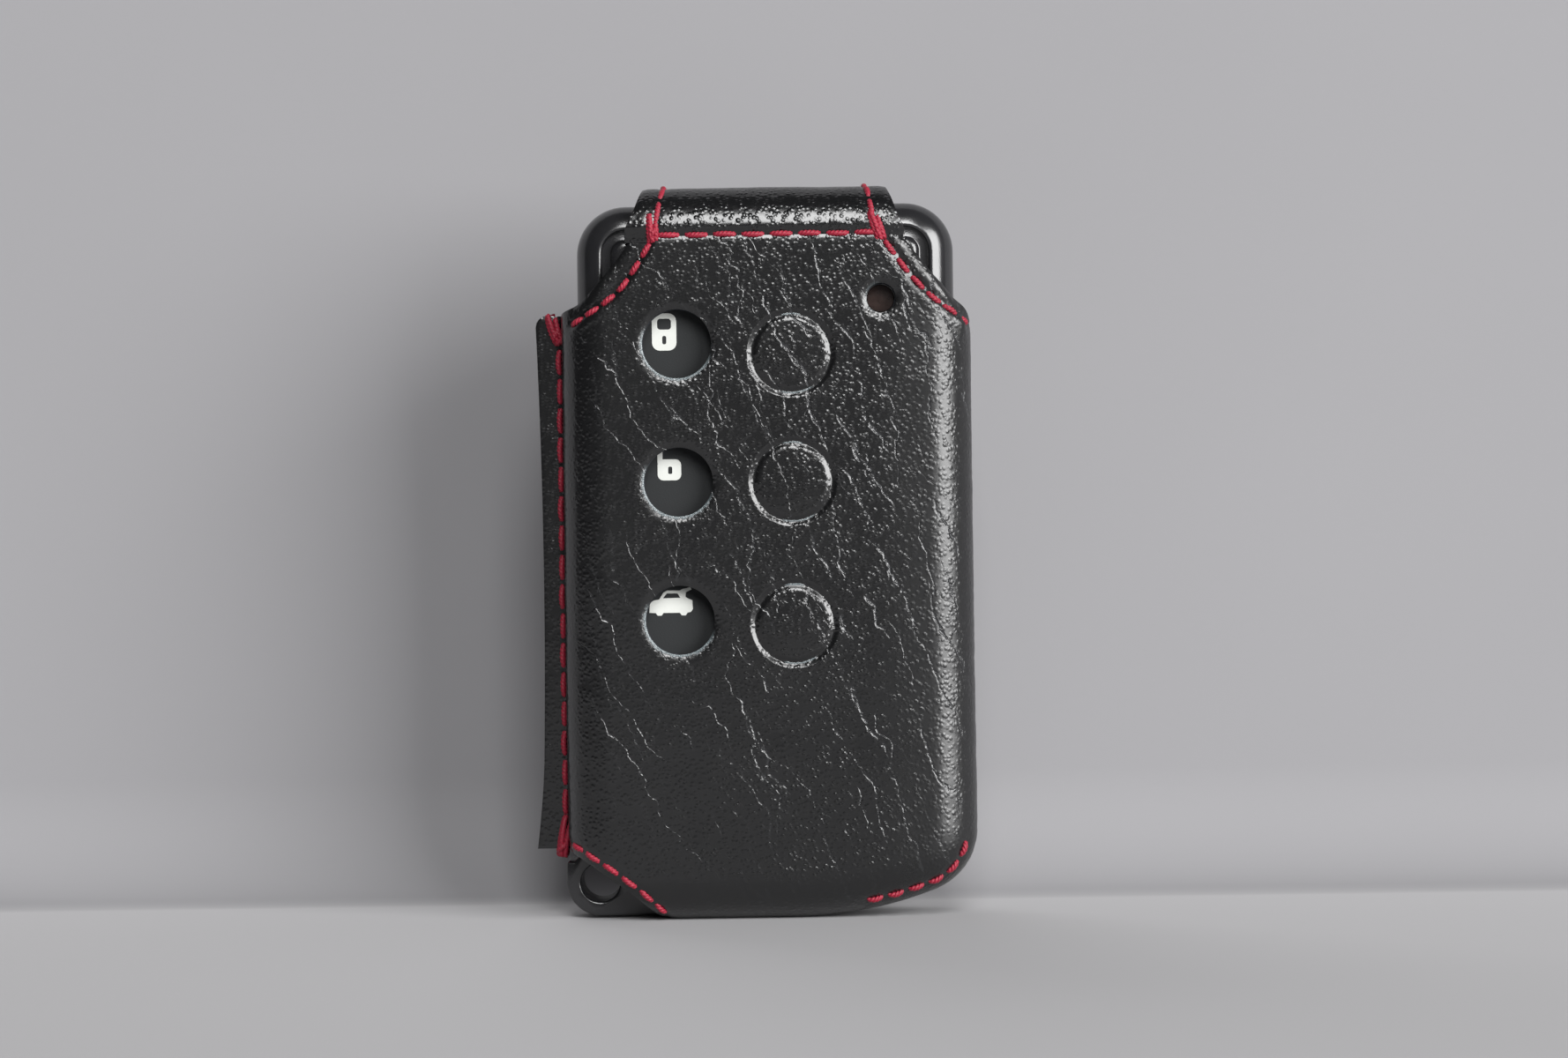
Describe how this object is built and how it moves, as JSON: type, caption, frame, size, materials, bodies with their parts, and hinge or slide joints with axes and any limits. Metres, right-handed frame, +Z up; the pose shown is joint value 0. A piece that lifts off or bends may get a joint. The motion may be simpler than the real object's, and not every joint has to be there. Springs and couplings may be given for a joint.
{
  "type": "key fob cover",
  "caption": "Stitched leather sleeve for a smart key: button holes in front, a strap that folds over the top and snaps at the back, key with ring eye inside.",
  "frame": {"origin": "on the flat standing face of the bottom leather, at the middle of the fob's width and depth", "axes": "+Z up along the cover's height, +Y from the front panel to the back with the snap, +X to the right as seen from the front"},
  "size_m": [0.0443, 0.0198, 0.075],
  "materials": {
    "leather": "pebbled semi-gloss",
    "lining": "matt split",
    "thread": "twisted polyester",
    "snap_metal": "nickel plated",
    "casing": "satin moulded",
    "button": "matt",
    "rubber": "moulded",
    "steel": "brushed",
    "board": "solder mask",
    "chip": "moulded",
    "lamp": "clear resin",
    "lens": "dark tinted",
    "coil": "varnished wire on ferrite",
    "contact": "plated"
  },
  "bodies": {
    "cover": {"outer_leather": "leather", "lining": "lining", "side_seam_thread": "thread", "shoulder_thread_left": "thread", "shoulder_thread_right": "thread", "strap_root_thread": "thread", "corner_thread_left": "thread", "corner_thread_right": "thread", "tongue_thread": "thread", "snap_stud": "snap_metal", "snap_post": "snap_metal", "fob_front_shell": "casing", "fob_rear_shell": "casing", "casing_seal": "rubber", "key_membrane": "rubber", "dome_switches": "steel", "circuit_board": "board", "control_chip": "chip", "indicator_lamp": "lamp", "indicator_lens": "lens", "antenna_coil": "coil", "coin_cell": "steel", "cell_contact_minus": "contact", "cell_contact_plus": "contact"},
    "strap": {"top_strap": "leather", "strap_lining": "lining", "strap_edge_thread": "thread", "snap_cap": "snap_metal", "snap_socket": "snap_metal"},
    "lock_button": {"button_lock": "button"},
    "unlock_button": {"button_unlock": "button"},
    "trunk_button": {"button_trunk": "button"},
    "emergency_key": {"key_blade": "steel", "key_head": "casing"},
    "latch": {"key_latch": "rubber"}
  },
  "joints": [
    {"name": "strap_open", "type": "hinge", "parent": "cover", "child": "strap", "pos_m": [0, -0.0089, 0.06972], "axis": [1, 0, 0], "range_deg": [0, 150]},
    {"name": "lock_press", "type": "slide", "parent": "cover", "child": "lock_button", "axis": [0, 1, 0], "range_m": [0, 0.0004], "stiffness_N_per_m": 1500},
    {"name": "unlock_press", "type": "slide", "parent": "cover", "child": "unlock_button", "axis": [0, 1, 0], "range_m": [0, 0.0004], "stiffness_N_per_m": 1500},
    {"name": "trunk_press", "type": "slide", "parent": "cover", "child": "trunk_button", "axis": [0, 1, 0], "range_m": [0, 0.0004], "stiffness_N_per_m": 1500},
    {"name": "key_draw", "type": "slide", "parent": "cover", "child": "emergency_key", "axis": [0, 0, -1], "range_m": [0, 0.046]},
    {"name": "latch_press", "type": "slide", "parent": "cover", "child": "latch", "axis": [1, 0, 0], "range_m": [0, 0.0008], "stiffness_N_per_m": 500}
  ]
}
